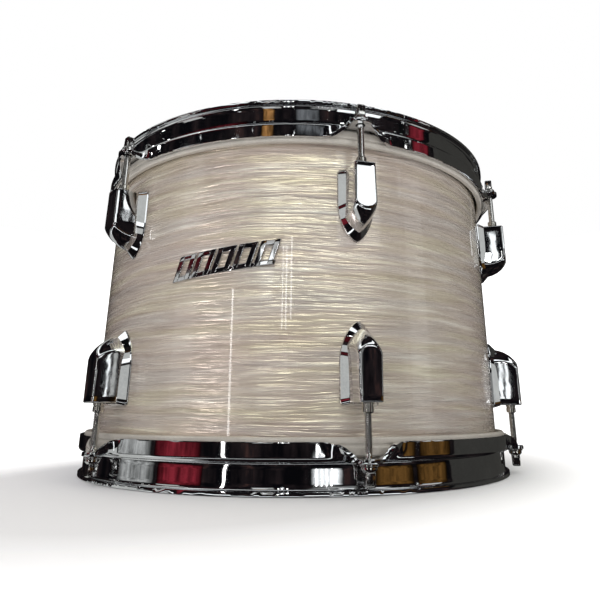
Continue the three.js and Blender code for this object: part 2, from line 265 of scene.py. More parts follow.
# %% Shader node helpers
def node(tree, kind, inputs=None, **settings):
    """Adds a node. inputs maps a socket's name or number to a value or to another node's output."""
    made = tree.nodes.new(kind)
    for key, value in settings.items():
        setattr(made, key, value)
    for key, value in (inputs or {}).items():
        if isinstance(value, bpy.types.NodeSocket):
            tree.links.new(value, made.inputs[key])
        else:
            made.inputs[key].default_value = value
    return made


def ramp(tree, source, stops):
    """Colours a number: stops are (place, colour)."""
    made = node(tree, "ShaderNodeValToRGB", {0: source})
    elements = made.color_ramp.elements
    while len(elements) < len(stops):
        elements.new(0.5)
    for element, (place, colour) in zip(elements, stops):
        element.position = place
        element.color = (*colour, 1)
    return made.outputs[0]


def span(tree, source, low, high, to_low, to_high):
    return node(tree, "ShaderNodeMapRange", {0: source, 1: low, 2: high, 3: to_low, 4: to_high}).outputs[0]


def calc(tree, operation, a, b=0.0):
    return node(tree, "ShaderNodeMath", {0: a, 1: b}, operation=operation).outputs[0]


def noise(tree, place, scale, detail=2.0, rough=0.5):
    settings = {"Vector": place, "Scale": scale, "Detail": detail, "Roughness": rough}
    return node(tree, "ShaderNodeTexNoise", settings).outputs[0]


def scaled(tree, place, scale, location=(0, 0, 0)):
    return node(tree, "ShaderNodeMapping", {"Vector": place, "Scale": scale, "Location": location}).outputs[0]


def multiplied(tree, share, colour, tint):
    settings = {0: share, 6: colour, 7: tint}
    return node(tree, "ShaderNodeMix", settings, data_type="RGBA", blend_type="MULTIPLY").outputs[2]


def length_of(tree, vector):
    return node(tree, "ShaderNodeVectorMath", {0: vector}, operation="LENGTH").outputs["Value"]


def own_place(tree):
    """The surface's own coordinates, in metres."""
    return node(tree, "ShaderNodeTexCoord").outputs["Object"]


def relief(tree, height, depth, strength=1.0, **under):
    """A bump as deep as the given millimetres."""
    settings = {"Height": height, "Distance": depth * MM, "Strength": strength, **under}
    return node(tree, "ShaderNodeBump", settings).outputs[0]


def new_finish(name):
    """A new material, its node tree and its surface shader."""
    finish = bpy.data.materials.new(name)
    finish.use_nodes = True
    tree = finish.node_tree
    return finish, tree, tree.nodes["Principled BSDF"]


def set_up(shader, **constants):
    """Sets plain values: Coat_Weight=1.0 sets the socket Coat Weight."""
    for key, value in constants.items():
        shader.inputs[key.replace("_", " ")].default_value = value


# %% [markdown]
# The daylight is a shade brighter and pinker from the left than from the right. The camera sees pure white.
# The paper that the drum stands on runs out flat and then curves up, so there is no horizon.
# It is lit by the daylight near the drum, where the soft shadow falls. Further out it glows white: painted light that
# rises with the distance from the drum and gives that shadow its edge.

# %% Daylight
world = bpy.data.worlds.new("daylight")
bpy.context.scene.world = world
world.use_nodes = True
tree = world.node_tree
seen = tree.nodes["Background"]
seen.inputs["Color"].default_value = (1, 1, 1, 1)
compass = node(tree, "ShaderNodeSeparateXYZ", {0: node(tree, "ShaderNodeTexCoord").outputs["Generated"]})
east_west = span(tree, compass.outputs[0], -1.0, 1.0, 0.0, 1.0)
sky = ramp(tree, east_west, [(0.0, (1.12, 1.04, 1.06)), (0.5, (0.93, 0.93, 0.91)), (1.0, (0.92, 0.88, 0.77))])
daylight = node(tree, "ShaderNodeBackground", {"Color": sky, "Strength": 1.0})
from_camera = node(tree, "ShaderNodeLightPath").outputs["Is Camera Ray"]
choice = node(tree, "ShaderNodeMixShader", {0: from_camera, 1: daylight.outputs[0], 2: seen.outputs[0]})
tree.links.new(choice.outputs[0], tree.nodes["World Output"].inputs["Surface"])

print("daylight ready")

# %% The floor
FLOOR_REACH, FLOOR_RISE, FLAT_SHARE = 14.0, 6.0, 0.6     # metres, metres, and the share of its rings that is flat
FLOOR_DROP = 0.4                                         # millimetres below the rim


def floor_point(u, v):
    angle = math.tau * u
    radius = FLOOR_REACH * min(v / FLAT_SHARE, 1.0)
    lift = 0.0
    if v > FLAT_SHARE:
        bend = (v - FLAT_SHARE) / (1 - FLAT_SHARE) * math.pi / 2
        radius = FLOOR_REACH + FLOOR_RISE * math.sin(bend)
        lift = FLOOR_RISE * (1 - math.cos(bend))
    return radius * math.cos(angle) / MM, radius * math.sin(angle) / MM, lift / MM - FLOOR_DROP


floor = laid("floor", 96, 24, floor_point)
floor.data.polygons.foreach_set("use_smooth", [True] * len(floor.data.polygons))
paper, tree, shader = new_finish("paper")
set_up(shader, Roughness=1.0, Specular_IOR_Level=0.0, Emission_Color=(1, 1, 1, 1))
position = own_place(tree)
# Painted light: the paper's glow grows with the distance from the drum. That distance counts more to the sides and
# less towards the camera, so the painted shadow edge lies further out in front and the paper is white to the sides.
painted_shadow_squeeze = {"Vector": position, "Rotation": (0, 0, HEADING), "Scale": (0.69, 1.2, 1.0)}
painted_shadow_place = node(tree, "ShaderNodeMapping", painted_shadow_squeeze, vector_type="TEXTURE").outputs[0]
fleck = noise(tree, position, 3.0)
tree.links.new(ramp(tree, fleck, [(0.3, (0.86, 0.87, 0.89)), (0.7, (0.88, 0.89, 0.91))]), shader.inputs["Base Color"])
tree.links.new(span(tree, length_of(tree, painted_shadow_place), 0.24, 0.38, 0.0, 0.6), shader.inputs["Emission Strength"])
floor.data.materials.append(paper)
floor.visible_glossy = False
print("floor reaches", FLOOR_REACH, "m")

# %% [markdown]
# The dome is nearly black, with a few dim patches. In front of it hang the cards: long tubes, white and grey
# panels and a few coloured ones, each given by its compass angle and its height angle as seen from the drum.
# Seventy small lamps would be a chore to hang by hand, so they are scattered by a seeded roll of the dice.

# %% The dark dome and its white tubes and panels
DOME_RADIUS = 18.0


def dome_point(azimuth, elevation, radius):
    a, e = math.radians(azimuth), math.radians(elevation)
    return (radius * math.sin(a) * math.cos(e) / MM, -radius * math.cos(a) * math.cos(e) / MM,
            radius * math.sin(e) / MM + MIDDLE)


def only_mirrors(piece):
    piece.visible_camera = piece.visible_diffuse = False
    piece.visible_transmission = piece.visible_shadow = piece.visible_volume_scatter = False


def glow(name, colour, strength=1.0, soft=False):
    """A light-giving finish. A soft one fades and mottles towards the edges of its card."""
    finish, tree, _ = new_finish(name)
    tree.nodes.clear()
    light = node(tree, "ShaderNodeEmission", {"Color": (*colour, 1), "Strength": strength})
    end = node(tree, "ShaderNodeOutputMaterial")
    tree.links.new(light.outputs[0], end.inputs["Surface"])
    if soft:
        spot = node(tree, "ShaderNodeTexCoord")
        across = node(tree, "ShaderNodeSeparateXYZ", {0: spot.outputs["UV"]})
        fades = []
        for i in (0, 1):
            from_middle = calc(tree, "ABSOLUTE", calc(tree, "SUBTRACT", across.outputs[i], 0.5))
            to_edge = calc(tree, "MULTIPLY", calc(tree, "SUBTRACT", 0.5, from_middle), 6.0)
            fades.append(calc(tree, "MINIMUM", to_edge, 1.0))
        mottle = span(tree, noise(tree, spot.outputs["Object"], 0.9, 4.0, 0.7), 0.35, 0.65, 0.25, 1.2)
        share = calc(tree, "MULTIPLY", calc(tree, "MULTIPLY", *fades), mottle)
        tree.links.new(calc(tree, "MULTIPLY", share, strength), light.inputs["Strength"])
    return finish


# %% The dome and its shade
dome = laid("dome", 64, 32, lambda u, v: dome_point(360 * u, 180 * v - 90, DOME_RADIUS))
shade = glow("dome_shade", (0.0, 0.0, 0.0))
tree = shade.node_tree
facing = node(tree, "ShaderNodeVectorMath", {0: own_place(tree)}, operation="NORMALIZE").outputs[0]
patches = noise(tree, facing, 7.0, 4.0, 0.65)
tint = ramp(tree, patches, [(0.45, (0.003, 0.003, 0.004)), (0.60, (0.016, 0.012, 0.013)),
                            (0.74, (0.07, 0.035, 0.03))])
tree.links.new(tint, tree.nodes["Emission"].inputs["Color"])
dome.data.materials.append(shade)
only_mirrors(dome)
print("dome", DOME_RADIUS, "m")


# %% Cards and their light
def card(name, azimuths, elevations, finish, lean=0.0):
    """lean is how many degrees the top of the card stands to the right of its foot."""
    (left, right_side), (foot, top) = azimuths, elevations

    def place(u, v):
        return dome_point(left + (right_side - left) * u + lean * (v - 0.5), foot + (top - foot) * v, DOME_RADIUS - 1)

    panel = laid(name, 6, 6, place)
    panel.data.materials.append(finish)
    only_mirrors(panel)


tube_light = glow("tube_light", (1.0, 0.99, 0.97), 10.0)
panel_light = glow("panel_light", (0.97, 1.0, 1.0), 1.5)
soft_panel = glow("soft_panel", (0.97, 1.0, 1.0), 1.6, soft=True)
haze = glow("haze", (0.56, 0.57, 0.55))
rust = glow("rust", (0.30, 0.07, 0.02))
pale_light = glow("pale_light", (0.90, 0.92, 0.90), 0.55, soft=True)
amber = glow("amber", (0.15, 0.075, 0.02), soft=True)
orange = glow("orange", (0.60, 0.30, 0.10), soft=True)
wine = glow("wine", (0.085, 0.010, 0.014), soft=True)
crimson = glow("crimson", (0.24, 0.022, 0.035), soft=True)
smoke = glow("smoke", (0.17, 0.18, 0.19), soft=True)
ash = glow("ash", (0.045, 0.044, 0.040))

# %% Where the cards hang: name, compass angles, height angles, light, lean
CARDS = [
    ("tube_left", (-18.7, -17.7), (-13, 12.2), tube_light, -2.0),
    ("tube_mid_a", (8.0, 8.6), (8, 17), tube_light),
    ("tube_mid_b", (9.9, 10.6), (8, 17), tube_light),
    ("tube_mid_c", (12.6, 13.3), (9, 18), tube_light),
    ("tube_low_a", (26.0, 26.6), (-9, 2), tube_light),
    ("tube_low_b", (28.3, 28.9), (-9, 2), tube_light),
    ("tube_low_c", (30.8, 31.4), (-9, 2.5), tube_light),
    ("tube_low_d", (33.4, 34.0), (-9, 2), tube_light),
    ("glow_low", (24, 39), (-9, -4), soft_panel),
    ("dash_a", (33.0, 33.8), (25.5, 28.5), tube_light),
    ("dash_b", (30.5, 31.3), (21.5, 24), tube_light),
    ("panel_right", (38, 64), (17, 29), panel_light),
    ("leaf_panel", (24, 46.5), (-3, 10), pale_light),
    ("leaf_high", (22, 37.5), (12, 28), pale_light),
    ("square_a", (77.45, 78.15), (22.0, 25), panel_light),
    ("square_b", (78.5, 79.2), (22.2, 25), panel_light),
    ("square_line_a", (77.55, 77.68), (20.2, 22.0), panel_light),
    ("square_line_b", (77.9, 78.05), (20.2, 22.0), panel_light),
    ("square_line_c", (78.65, 78.78), (20.0, 22.2), panel_light),
    ("square_line_d", (79.0, 79.1), (20.4, 22.2), panel_light),
    ("bar_low_a", (77.3, 77.55), (-3, 7), panel_light),
    ("bar_low_b", (77.9, 78.3), (-3, 7), haze),
    ("bar_low_c", (78.95, 79.6), (-3, 7), rust),
    ("slope_front_low", (-4, 6), (-0.5, 8), haze),
    ("slope_front_high", (-4, 6), (16.5, 26), haze),
    ("badge_white", (-4, 3), (11, 16.5), panel_light),
    ("badge_wine", (-62, -30), (13.6, 17.4), wine),
    ("slope_left_low", (-54, -41), (-0.5, 13.5), haze),
    ("slope_left_high", (-54, -41), (18, 26.5), haze),
    ("slope_right", (80.6, 93), (-1, 24), haze),
    ("under_left", (-130, -58), (-60, -14), haze),
    ("over_left", (-130, -58), (38, 62), haze),
    ("side_high_a", (8.7, 9.6), (14, 20), panel_light),
    ("side_high_b", (10.75, 11.5), (14, 20), panel_light),
    ("side_low_a", (9.62, 9.78), (-1.5, 6), panel_light),
    ("side_low_b", (10.25, 10.6), (-1.5, 6), panel_light),
    ("side_low_c", (10.8, 11.2), (-1.5, 6), panel_light),
    ("amber_low", (55, 76), (-10, -2), amber),
    ("amber_low_b", (78, 97), (-10, -1), amber),
    ("orange_high", (-5, 2), (26, 33), orange),
    ("wine_right", (84, 96), (25.5, 33), crimson),
    ("wine_left", (-80, -14), (31, 40), wine),
    ("crimson_low", (-54, -29), (-11, -1), crimson),
    ("smoke_low", (-82, -56), (-11, -1), pale_light),
    ("ash_far", (100, 165), (-20, 40), ash),
    ("smudge_top", (14, 28), (28.5, 33.5), smoke),
    ("ceiling_band", (-90, 110), (50, 58), panel_light),
    ("table_band", (-70, 80), (-30, -26), panel_light),
]
for row in CARDS:
    card(*row)

SMALL_LAMPS = 70
lamps = random.Random(13)
for count in range(SMALL_LAMPS):
    azimuth, elevation = lamps.uniform(-110, 120), lamps.uniform(26, 48)
    size = lamps.choice([0.25, 0.4, 0.6])
    width = size * lamps.uniform(1, 4)
    light = panel_light if count % 3 else tube_light
    card(f"lamp_{count}", (azimuth, azimuth + width), (elevation, elevation + size), light)
print(len(CARDS), "cards and", SMALL_LAMPS, "small lamps")

# %% [markdown]
# ## Finishes
# Each finish is made of nodes on the piece's own coordinates, so it stays put when the piece moves.
# Chrome is almost a mirror: what makes it real is a faint waviness from pressing and polishing, and
# thin smudges that scatter the reflection.

# %% Chrome and plain metals
def metal(name, colour, rough=(0.03, 0.07), wave=0.02, wave_size=14.0, smudge=0.0, grain=0.0, metallic=1.0):
    """wave and grain are depths in millimetres, wave_size is the width of a wave, smudge adds roughness."""
    finish, tree, shader = new_finish(name)
    set_up(shader, Metallic=metallic)
    place = own_place(tree)
    broad = noise(tree, place, 1000 / wave_size, 1.5)
    fine = noise(tree, place, 900.0, 3.0)
    patch = noise(tree, place, 38.0, 4.0, 0.7)
    tone = calc(tree, "ADD", span(tree, patch, 0.35, 0.75, 0.0, 0.7), span(tree, fine, 0.3, 0.7, 0.0, 0.3))
    worn = tuple(c * 0.75 for c in colour)
    tree.links.new(ramp(tree, tone, [(0.0, colour), (1.0, worn)]), shader.inputs["Base Color"])
    polish = span(tree, patch, 0.45, 0.75, *rough)
    marks = span(tree, fine, 0.55, 0.75, 0.0, smudge)
    tree.links.new(calc(tree, "ADD", polish, marks), shader.inputs["Roughness"])
    bump = relief(tree, broad, wave)
    if grain:
        bump = relief(tree, fine, grain, Normal=bump)
    tree.links.new(bump, shader.inputs["Normal"])
    return finish


hoop_chrome = metal("hoop_chrome", (0.80, 0.81, 0.83), wave=0.05, wave_size=16.0, smudge=0.03)
lug_chrome = metal("lug_chrome", (0.84, 0.85, 0.87), rough=(0.02, 0.05), wave=0.015, wave_size=9.0)
rod_chrome = metal("rod_chrome", (0.74, 0.73, 0.72), rough=(0.08, 0.2), wave=0.01, wave_size=4.0, smudge=0.05)
nut_nickel = metal("nut_nickel", (0.72, 0.70, 0.66), rough=(0.12, 0.26), wave=0.01, wave_size=3.0)
washer_steel = metal("washer_steel", (0.62, 0.62, 0.62), rough=(0.16, 0.34), wave=0.01, wave_size=3.0, grain=0.004)
badge_chrome = metal("badge_chrome", (0.82, 0.82, 0.84), rough=(0.03, 0.09), wave=0.01, wave_size=7.0)
eyelet_chrome = metal("eyelet_chrome", (0.80, 0.80, 0.82), rough=(0.05, 0.12), wave=0.01, wave_size=6.0)
flesh_aluminium = metal("flesh_aluminium", (0.66, 0.62, 0.56), rough=(0.34, 0.46), wave=0.02, wave_size=10.0,
                        grain=0.006, metallic=0.35)
print("metals ready")

# %% [markdown]
# The wrap is the drum's colour. Oyster pearl is cast with flakes that lie in lens-shaped streaks, all running
# round the drum. Each streak tilts its flakes its own way, so under a lamp one flashes cream and its neighbour
# stays grey, and away from the lamp they fade together. So the streaks here tilt a half-metallic layer, and a
# clear, smooth coat lies over it.

# %% Lay measured coordinates round a ring
SEAM_SHIFT = 0.6                    # metres, so that the map has no negative part


def ring_map(piece, radius):
    """A UV map in metres: u runs round the ring from its back, v is the height."""
    layer = piece.data.uv_layers.new(name="UVMap") if not piece.data.uv_layers else piece.data.uv_layers[0]
    for face in piece.data.polygons:
        points = [(loop, piece.data.vertices[piece.data.loops[loop].vertex_index].co) for loop in face.loop_indices]
        turns = [math.atan2(point.x, -point.y) for _, point in points]
        if max(turns) - min(turns) > math.pi:
            turns = [turn + math.tau if turn < 0 else turn for turn in turns]
        for (loop, point), turn in zip(points, turns):
            layer.data[loop].uv = (turn * radius * MM + SEAM_SHIFT, point.z)


# %% Oyster pearl
def oyster_pearl():
    finish, tree, shader = new_finish("oyster_wrap")
    flat = node(tree, "ShaderNodeUVMap", uv_map="UVMap").outputs[0]

    def streaks(per_u, per_v, detail, shift, source):
        """Noise with so many spots to a metre round the drum and up it."""
        return noise(tree, scaled(tree, source, (per_u, per_v, 1), (shift, shift * 0.7, shift)), 1.0, detail)

    def wander(per_u, per_v, shift, far):
        return calc(tree, "MULTIPLY", calc(tree, "SUBTRACT", streaks(per_u, per_v, 1.0, shift, flat), 0.5), far)

    parts = node(tree, "ShaderNodeSeparateXYZ", {0: flat})
    drift = calc(tree, "ADD", wander(7, 18, 3.0, 0.010), wander(30, 70, 9.0, 0.0022))
    height = calc(tree, "ADD", parts.outputs[1], drift)
    bent = node(tree, "ShaderNodeCombineXYZ", {0: parts.outputs[0], 1: height}).outputs[0]
    broad = calc(tree, "MULTIPLY", streaks(13, 190, 2.0, 0.0, bent), 0.45)
    thin = streaks(22, 700, 2.0, 5.0, bent)
    lens = calc(tree, "MULTIPLY", streaks(24, 330, 1.0, 11.0, bent), 0.25)
    mix = calc(tree, "ADD", broad, calc(tree, "ADD", calc(tree, "MULTIPLY", thin, 0.30), lens))
    body = ramp(tree, mix, [(0.36, (0.44, 0.385, 0.33)), (0.46, (0.53, 0.475, 0.415)), (0.54, (0.57, 0.52, 0.455)),
                            (0.60, (0.66, 0.62, 0.545)), (0.66, (0.80, 0.77, 0.69))])
    tints = ramp(tree, streaks(10, 120, 1.0, 23.0, bent),
                 [(0.35, (0.93, 0.95, 1.0)), (0.5, (1.0, 0.98, 0.97)), (0.65, (1.0, 1.0, 0.88))])
    mauve = ramp(tree, streaks(9, 16, 2.0, 17.0, flat), [(0.35, (1.0, 0.955, 0.965)), (0.65, (1.0, 1.0, 0.985))])
    colour = multiplied(tree, 1.0, multiplied(tree, 0.7, body, tints), mauve)
    tree.links.new(colour, shader.inputs["Base Color"])
    tree.links.new(span(tree, thin, 0.35, 0.65, 0.21, 0.30), shader.inputs["Roughness"])
    tree.links.new(relief(tree, mix, 3.0), shader.inputs["Normal"])
    set_up(shader, Metallic=0.42, Coat_Weight=1.0, Coat_Roughness=0.02)
    return finish


oyster_wrap = oyster_pearl()
print("pearl ready")

# %% [markdown]
# The shell is bare lacquered plywood inside: veneers with pores along the grain, and thin plies that show as
# rings on its cut ends. The top head is milky with a fine tooth, and the bottom head is clear as glass.

# %% Wood
PLY = 0.0012                        # one ply in metres


def wood():
    finish, tree, shader = new_finish("shell_ply")
    place = node(tree, "ShaderNodeUVMap", uv_map="UVMap").outputs[0]
    bands = noise(tree, scaled(tree, place, (9, 160, 1)), 1.0, 5.0, 0.6)
    pore = noise(tree, scaled(tree, place, (60, 1500, 1)), 1.0)
    radius = length_of(tree, scaled(tree, own_place(tree), (1, 1, 0)))
    plies = span(tree, calc(tree, "PINGPONG", radius, PLY), 0.0, PLY, 0.0, 1.0)
    light = ramp(tree, bands, [(0.3, (0.30, 0.14, 0.055)), (0.5, (0.44, 0.235, 0.10)), (0.7, (0.56, 0.33, 0.16))])
    ply = ramp(tree, plies, [(0.25, (0.55, 0.45, 0.40)), (0.5, (1.0, 1.0, 1.0))])
    grain = ramp(tree, pore, [(0.42, (0.62, 0.55, 0.5)), (0.5, (1.0, 1.0, 1.0))])
    colour = multiplied(tree, 0.7, multiplied(tree, 0.5, light, ply), grain)
    tree.links.new(colour, shader.inputs["Base Color"])
    tree.links.new(span(tree, bands, 0.3, 0.7, 0.32, 0.48), shader.inputs["Roughness"])
    tree.links.new(relief(tree, pore, 0.06, 0.6), shader.inputs["Normal"])
    set_up(shader, Coat_Weight=0.35, Coat_Roughness=0.18)
    return finish


# %% Films
def film(name, colour, see_through, rough, grain):
    finish, tree, shader = new_finish(name)
    place = own_place(tree)
    cloud = noise(tree, place, 25.0, 3.0)
    grit = noise(tree, place, 2600.0)
    thicker = tuple(c * 0.94 for c in colour)
    tree.links.new(ramp(tree, cloud, [(0.3, colour), (0.7, thicker)]), shader.inputs["Base Color"])
    tree.links.new(span(tree, cloud, 0.3, 0.7, rough, rough + 0.08), shader.inputs["Roughness"])
    tree.links.new(relief(tree, grit, grain, 0.8), shader.inputs["Normal"])
    set_up(shader, Transmission_Weight=see_through, IOR=1.57)
    return finish


shell_ply = wood()
coated_film = film("coated_film", (0.86, 0.86, 0.84), 0.0, 0.55, 0.06)
clear_film = film("clear_film", (0.95, 0.96, 0.97), 0.9, 0.08, 0.002)
print("wood and films ready")

# %% [markdown]
# ## Shell and wrap
# The shell is a plywood tube whose ends are cut to 45 degree bearing edges, with a small round-over outside.
# The wrap is a thin plastic sheet glued round it that stops just short of the ends, so the heads can seat.

# %% Shell and wrap
ROUND_OVER = 1.4
shell_outline = ([(SHELL_INNER, -SHELL_END + 5.2), (SHELL_INNER + 5.0, -SHELL_END + 0.2)]
                 + arc((SHELL_OUTER - ROUND_OVER, -SHELL_END + ROUND_OVER), ROUND_OVER, -100, 0, 5)
                 + [(SHELL_OUTER, h) for h in (-60, 0, 60)]
                 + arc((SHELL_OUTER - ROUND_OVER, SHELL_END - ROUND_OVER), ROUND_OVER, 0, 100, 5)
                 + [(SHELL_INNER + 5.0, SHELL_END - 0.2)] + [(SHELL_INNER, h) for h in (SHELL_END - 5.2, 60, 0, -60)])
shell = turned("shell_wood", shell_outline, 240)
shell.data.transform(moved(0, 0, MIDDLE))

wrap_outline = (arc((WRAP_OUTER - 0.45, -WRAP_END + 0.45), 0.42, -180, 0, 6)
                + [(WRAP_OUTER, h) for h in range(-100, 101, 20)]
                + arc((WRAP_OUTER - 0.45, WRAP_END - 0.45), 0.42, 0, 180, 6) + [(WRAP_INNER, 0)])
wrap = turned("wrap_sleeve", wrap_outline, 480)
wrap.data.transform(moved(0, 0, MIDDLE))
print("shell from", -SHELL_END, "to", SHELL_END)

# %% [markdown]
# Air has to leave when the head is struck, so the shell has a vent. A drill is a cylinder that is taken away.

# %% Air hole at the back, through both
VENT_HOLE = 5.4


def bored(piece, radius, depth, place):
    """Cuts a round hole with a cylinder laid at place, then throws the cylinder away."""
    nothing()
    bpy.ops.mesh.primitive_cylinder_add(vertices=32, radius=radius * MM, depth=depth * MM)
    bit = bpy.context.object
    bit.data.transform(place)
    modify(piece, "BOOLEAN", object=bit, operation="DIFFERENCE", solver="EXACT")
    discard(bit)


through_back = station_matrix(180) @ moved(0, -SHELL_OUTER, 0) @ Matrix.Rotation(math.pi / 2, 4, "X")
for piece in (shell, wrap):
    bored(piece, VENT_HOLE, 30.0, through_back)
    ring_map(piece, WRAP_OUTER)
    smooth(piece, 30)
fitted(shell, "shell_assembly", shell_ply, "shell_ply", "shell")
fitted(wrap, "shell_assembly", oyster_wrap, "oyster_wrap", "wrap")
print("shell", len(shell.data.polygons), "faces, wrap", len(wrap.data.polygons))

# %% [markdown]
# ## Hoops
# A triple-flanged hoop is one strip of steel pressed three times: the rim is rolled out at the top, the wall
# stands on the ledge that presses the head down, and the skirt hangs outside. At each rod the skirt is left
# unbent and becomes a flat ear, and its edge sweeps down from the ear in an S.
# The strip's middle surface is laid out first, then given its thickness, and its edges are rounded.

# %% Hoop measures
STEEL = 2.3
COLLAR = 168.95
LEDGE = 106.05
CORNER = 171.85
BEND = 1.3
SKIRT_DROP = 9.85                   # ledge to the skirt's edge, on the middle surface
EAR_HALF, SWEEP = 7.0, 20.0
EAR_OUT, EAR_ROUND, NECK = 6.5, 8.8, 9.0
ROD_HOLE = 3.4
COLLAR_OUTLINE = ([(172.9, 123.55), (172.4, 123.55)] + arc((171.95, 120.55), 3.0, 90, 180, 6)
                  + [(COLLAR, h) for h in (118, 114.5, 111.5)] + arc((171.15, 108.25), 2.2, 180, 270, 5))
SKIRT_ROWS = 16
SECTOR_COLUMNS = 84
HOOP_ROWS = len(COLLAR_OUTLINE) - 1 + SKIRT_ROWS
print("collar rows", len(COLLAR_OUTLINE), "skirt rows", SKIRT_ROWS)


# %% Where the skirt's middle surface runs
def skirt_point(share, off):
    """share runs from the ledge's corner to the skirt's edge, off is the way round the hoop from the nearest rod."""
    angle = math.pi / 2 * smoothstep(max(0.0, (abs(off) - EAR_HALF) / SWEEP) ** 0.66)
    bent = BEND * math.pi / 2 + SKIRT_DROP - BEND
    ear_edge = ROD_CIRCLE + EAR_OUT * math.sqrt(max(0.0, 1 - (off / EAR_ROUND) ** 2)) - CORNER
    if abs(off) < EAR_ROUND * 0.82:
        reach = max(ear_edge, NECK)
    else:
        reach = NECK + (bent - NECK) * smoothstep((abs(off) - EAR_ROUND * 0.82) / SWEEP)
    along = share * reach
    curved = min(along, BEND * angle) if angle > 1e-6 else 0.0
    turned_by, straight = curved / BEND, along - curved
    radius = CORNER + BEND * math.sin(turned_by) + straight * math.cos(angle)
    height = LEDGE - BEND * (1 - math.cos(turned_by)) - straight * math.sin(angle)
    return radius, height


def hoop_point(u, v):
    """The columns gather at the ears, where the skirt changes most."""
    sector = min(int(u * 6), 5)
    s = (u * 6 - sector) * 2 - 1
    off_degrees = 30 * (0.34 * s + 0.66 * s ** 3)
    azimuth = math.radians(STATIONS[1] + 60 * sector + off_degrees)
    row = v * HOOP_ROWS
    if row <= len(COLLAR_OUTLINE) - 1 + 1e-6:
        radius, height = COLLAR_OUTLINE[round(row)]
    else:
        off = math.radians(off_degrees) * ROD_CIRCLE
        radius, height = skirt_point((row - len(COLLAR_OUTLINE) + 1) / SKIRT_ROWS, off)
    return radius * math.sin(azimuth), -radius * math.cos(azimuth), height


# %% Press the hoop
hoop_model = laid("hoop_model", SECTOR_COLUMNS * 6, HOOP_ROWS, hoop_point)
print("hoop sheet", len(hoop_model.data.vertices))
modify(hoop_model, "SOLIDIFY", thickness=STEEL * MM, offset=0.0, use_even_offset=True)
modify(hoop_model, "BEVEL", width=0.75 * MM, segments=3, limit_method="ANGLE", angle_limit=math.radians(50))
weld(hoop_model)
for azimuth in STATIONS.values():
    over_ear = Matrix.Rotation(math.radians(azimuth), 4, "Z") @ moved(0, -ROD_CIRCLE, LEDGE)
    bored(hoop_model, ROD_HOLE, 12, over_ear)
smooth(hoop_model, 35)
for side, end in ENDS.items():
    hoop = carried(hoop_model, f"{side}_hoop_pressed", 0, end)
    fitted(hoop, f"{side}_hoop", hoop_chrome, "hoop_chrome", f"{side}_hoop")
print("hoop", len(hoop_model.data.polygons), "faces")
discard(hoop_model)

# %% [markdown]
# ## Heads
# A drumhead is a plastic film whose collar is bent down and locked in an aluminium channel, the flesh hoop.
# The top head is coated and gets struck. The bottom one is clear.

# %% Film and flesh hoop
film_outline = ([(0, 114.62), (80, 114.62), (150, 114.62)] + arc((163.2, 111.5), 3.12, 90, 20, 5)
                + [(166.72, 109.0), (166.72, 104.9), (167.2, 104.9), (167.2, 109.0)]
                + arc((163.2, 111.3), 3.8, 15, 90, 6) + [(150, 115.1), (80, 115.1), (0, 115.1)])
flesh_outline = [(166.75, 95.0), (167.4, 93.9), (170.2, 93.8), (171.0, 94.5), (171.15, 97.2), (170.6, 97.9),
                 (170.6, 98.9), (171.15, 99.6), (171.15, 103.4), (170.4, 104.5), (168.4, 104.6), (168.0, 103.4),
                 (167.5, 103.4), (167.3, 104.4), (166.75, 104.2)]
film_model = turned("film_model", film_outline, 240, open_ends=True)
smooth(film_model, 40)
flesh_model = turned("flesh_model", flesh_outline, 320)
modify(flesh_model, "BEVEL", width=0.18 * MM, segments=2, limit_method="ANGLE", angle_limit=math.radians(25))
smooth(flesh_model, 40)
for side, end in ENDS.items():
    finish, slot_name = (coated_film, "coated_film") if end > 0 else (clear_film, "clear_film")
    head = carried(film_model, f"{side}_film", 0, end)
    fitted(head, f"{side}_head", finish, slot_name, f"{side}_head_film")
    channel = carried(flesh_model, f"{side}_channel", 0, end)
    fitted(channel, f"{side}_head", flesh_aluminium, "flesh_aluminium", f"{side}_flesh_hoop")
discard(film_model)
discard(flesh_model)
print("heads ready")

# %% [markdown]
# ## Lugs
# Each lug is a zinc casting shaped like a bullet on a leaf: a box body with a flat front that narrows to a
# rounded nose, and a thin leaf that hugs the shell and slopes up to the body's foot. The flanks lean in by
# 3 degrees so that the casting leaves its mould. Where the rounded nose meets the flat front it leaves an arch.
# The body is laid section by section, so the arch comes by itself from trimming the nose at the front's plane.

# %% Lug measures
LUG_MOUTH, LUG_SHOULDER, LUG_TIP = 74.8, 50.0, 30.8
SEAT = 166.9                        # where the leaf's edge meets the shell
BODY_FOOT, BODY_HALF, BODY_CORNER = 8.7, 7.6, 1.2
BODY_DEEP = FACE - SEAT
BULLET_HALF, BULLET_DEEP = 10.2, 21.5
BORE = 4.1
FLANGE_TIP, FLANGE_MOUTH = above_middle("batter_lug_2")
FLANGE_HALF, FLANGE_CORNER = corners("batter_lug_2")[1][1], 3.0
FLANGE_SHOULDER, LEAF_RISE = 52.0, 4.2
FLANGE_MIDDLE = 52.0                # the height that its rings spread from
COLUMNS = 112
print("lug from", FLANGE_TIP, "to", FLANGE_MOUTH)


def bullet_size(height):
    """The bullet's half width, its depth and how square its section is. It is pointed and round at the tip."""
    along = (height - LUG_TIP) / (LUG_SHOULDER - LUG_TIP)
    full = 1 - (1 - min(max(along, 0.0), 1.0)) ** 2
    grown = 1 + 0.03 * max(height - LUG_SHOULDER, 0.0)
    return BULLET_HALF * full ** 0.8 * grown, BULLET_DEEP * full ** 0.5 * grown, 2 + 3 * min(max(along, 0), 1) ** 2


# %% [markdown]
# A section is the smaller of two shapes: a rounded box with leaning sides, and the bullet's own round.
# Both are measured from the middle of the foot, so the smaller reach in each direction wins, with a soft turn.

